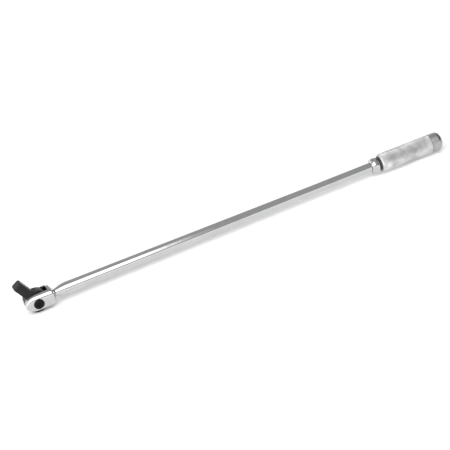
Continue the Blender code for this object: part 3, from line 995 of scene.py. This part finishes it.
# Levels of the world's light
GREY_CEILING = 0.52
PALE_HORIZON = 1.50
SOFT_BOX = 3.0
LEFT_PANEL = 0.3
RIGHT_FLAG = 0.8             # share of the light that the flag on the right takes away
FLOOR_GLOW = 0.13

# Soft edges of its areas. Tilt is in degrees: 0 is the front horizon, 90 overhead, 180 the back horizon.
BOX_LOW_EDGE = (28, 34)
BOX_TOP_EDGE = (75, 82)
FRONT_HORIZON_EDGE = (11, 17)
BACK_HORIZON_EDGE = (152, 160)
# These run from left (-1) to right (1).
BOX_RIGHT_EDGE = (0.185, 0.255)
LEFT_PANEL_EDGE = (-0.70, -0.55)
RIGHT_FLAG_EDGE = (0.50, 0.70)

FLOOR_REACH = 12.0
FLOOR_DROP = 0.00005         # keeps the floor from flickering against the eye's lowest edge

# Camera: the photograph's angle, counted from the pivot
CAMERA_FROM_PIVOT = Vector((-0.2677, -1.7717, 1.0305))
CAMERA_YAW = math.radians(16.850)
CAMERA_DOWN = math.radians(29.109)
CAMERA_ROLL = math.radians(13.283)
CAMERA_LENS = 128.0
CAMERA_SENSOR = 36.0


def make_floor():
    mesh = bpy.data.meshes.new("floor")
    corners = [(-1, -1), (1, -1), (1, 1), (-1, 1)]
    mesh.from_pydata([(x * FLOOR_REACH, y * FLOOR_REACH, 0) for x, y in corners], [], [(0, 1, 2, 3)])
    floor = bpy.data.objects.new("floor", mesh)
    bpy.context.collection.objects.link(floor)
    floor.location.z = -FLOOR_DROP
    m = Nodes("white_sweep")
    m.put(Roughness=0.9, Specular_IOR_Level=0.1)
    m.put(Emission_Strength=FLOOR_GLOW, Emission_Color=(1.0, 1.0, 1.0, 1.0))
    paper = m.noise(3.0, 2.0)
    m.link(m.ramp(paper, (0.3, grey(0.90)), (0.7, grey(0.92))), m.shader.inputs["Base Color"])
    mesh.materials.append(m.material)


def make_world():
    """A white studio: soft box high in front, pale horizons, grey ceiling, a flag on the right."""
    world = bpy.data.worlds.new("studio")
    bpy.context.scene.world = world
    world.use_nodes = True
    tree = world.node_tree
    background = tree.nodes["Background"]
    direction = tree.nodes.new("ShaderNodeTexCoord").outputs["Generated"]
    split = tree.nodes.new("ShaderNodeSeparateXYZ")
    tree.links.new(direction, split.inputs[0])

    def maths(operation, first, second):
        node = tree.nodes.new("ShaderNodeMath")
        node.operation = operation
        for target, value in zip(node.inputs, (first, second)):
            if isinstance(value, bpy.types.NodeSocket):
                tree.links.new(value, target)
            else:
                target.default_value = value
        return node.outputs[0]

    def above(source, edge):
        node = tree.nodes.new("ShaderNodeMapRange")
        node.interpolation_type = "SMOOTHSTEP"
        tree.links.new(source, node.inputs["Value"])
        node.inputs["From Min"].default_value = edge[0]
        node.inputs["From Max"].default_value = edge[1]
        return node.outputs["Result"]

    def below(source, edge):
        return maths("SUBTRACT", 1.0, above(source, edge))

    x, y, z = split.outputs
    tilt = maths("DIVIDE", maths("ARCTAN2", z, maths("MULTIPLY", y, -1.0)), math.pi / 180)
    box = maths("MULTIPLY", above(tilt, BOX_LOW_EDGE), below(tilt, BOX_TOP_EDGE))
    box = maths("MULTIPLY", box, below(x, BOX_RIGHT_EDGE))
    left = maths("MULTIPLY", below(x, LEFT_PANEL_EDGE), LEFT_PANEL)
    flag = maths("SUBTRACT", 1.0, maths("MULTIPLY", above(x, RIGHT_FLAG_EDGE), RIGHT_FLAG))
    pale = maths("MAXIMUM", below(tilt, FRONT_HORIZON_EDGE), above(tilt, BACK_HORIZON_EDGE))
    rest = maths("ADD", GREY_CEILING, maths("MULTIPLY", pale, PALE_HORIZON - GREY_CEILING))
    level = maths("ADD", maths("ADD", rest, left), maths("MULTIPLY", box, SOFT_BOX))
    tree.links.new(maths("MULTIPLY", level, flag), background.inputs["Strength"])
    background.inputs["Color"].default_value = (1.0, 1.0, 1.0, 1.0)


def make_camera():
    """Aimed by yaw and downward tilt, then rolled about its own line of sight."""
    data = bpy.data.cameras.new("camera")
    data.lens = CAMERA_LENS
    data.sensor_width = CAMERA_SENSOR
    camera = bpy.data.objects.new("camera", data)
    bpy.context.collection.objects.link(camera)
    yaw, down, roll = CAMERA_YAW, CAMERA_DOWN, CAMERA_ROLL
    ahead = Vector((math.sin(yaw) * math.cos(down), math.cos(yaw) * math.cos(down), -math.sin(down)))
    right = Vector((math.cos(yaw), -math.sin(yaw), 0.0))
    up = right.cross(ahead)
    rolled_right = math.cos(roll) * right - math.sin(roll) * up
    rolled_up = math.sin(roll) * right + math.cos(roll) * up
    turn = Matrix((rolled_right, rolled_up, -ahead)).transposed().to_4x4()
    camera.matrix_world = Matrix.Translation(PIVOT + CAMERA_FROM_PIVOT) @ turn
    bpy.context.scene.camera = camera


# ---------------------------------------------------------------------------
# Assembly
# ---------------------------------------------------------------------------

make_camera()
make_floor()
make_world()
make_fork_shaft()
make_head()
make_ball()
make_screw()
make_nut()
make_collar()
make_groove_ring()
make_grip()
make_end_cap()
make_end_screw()
finish_cad_nodes()

bpy.context.scene.view_settings.view_transform = "Standard"
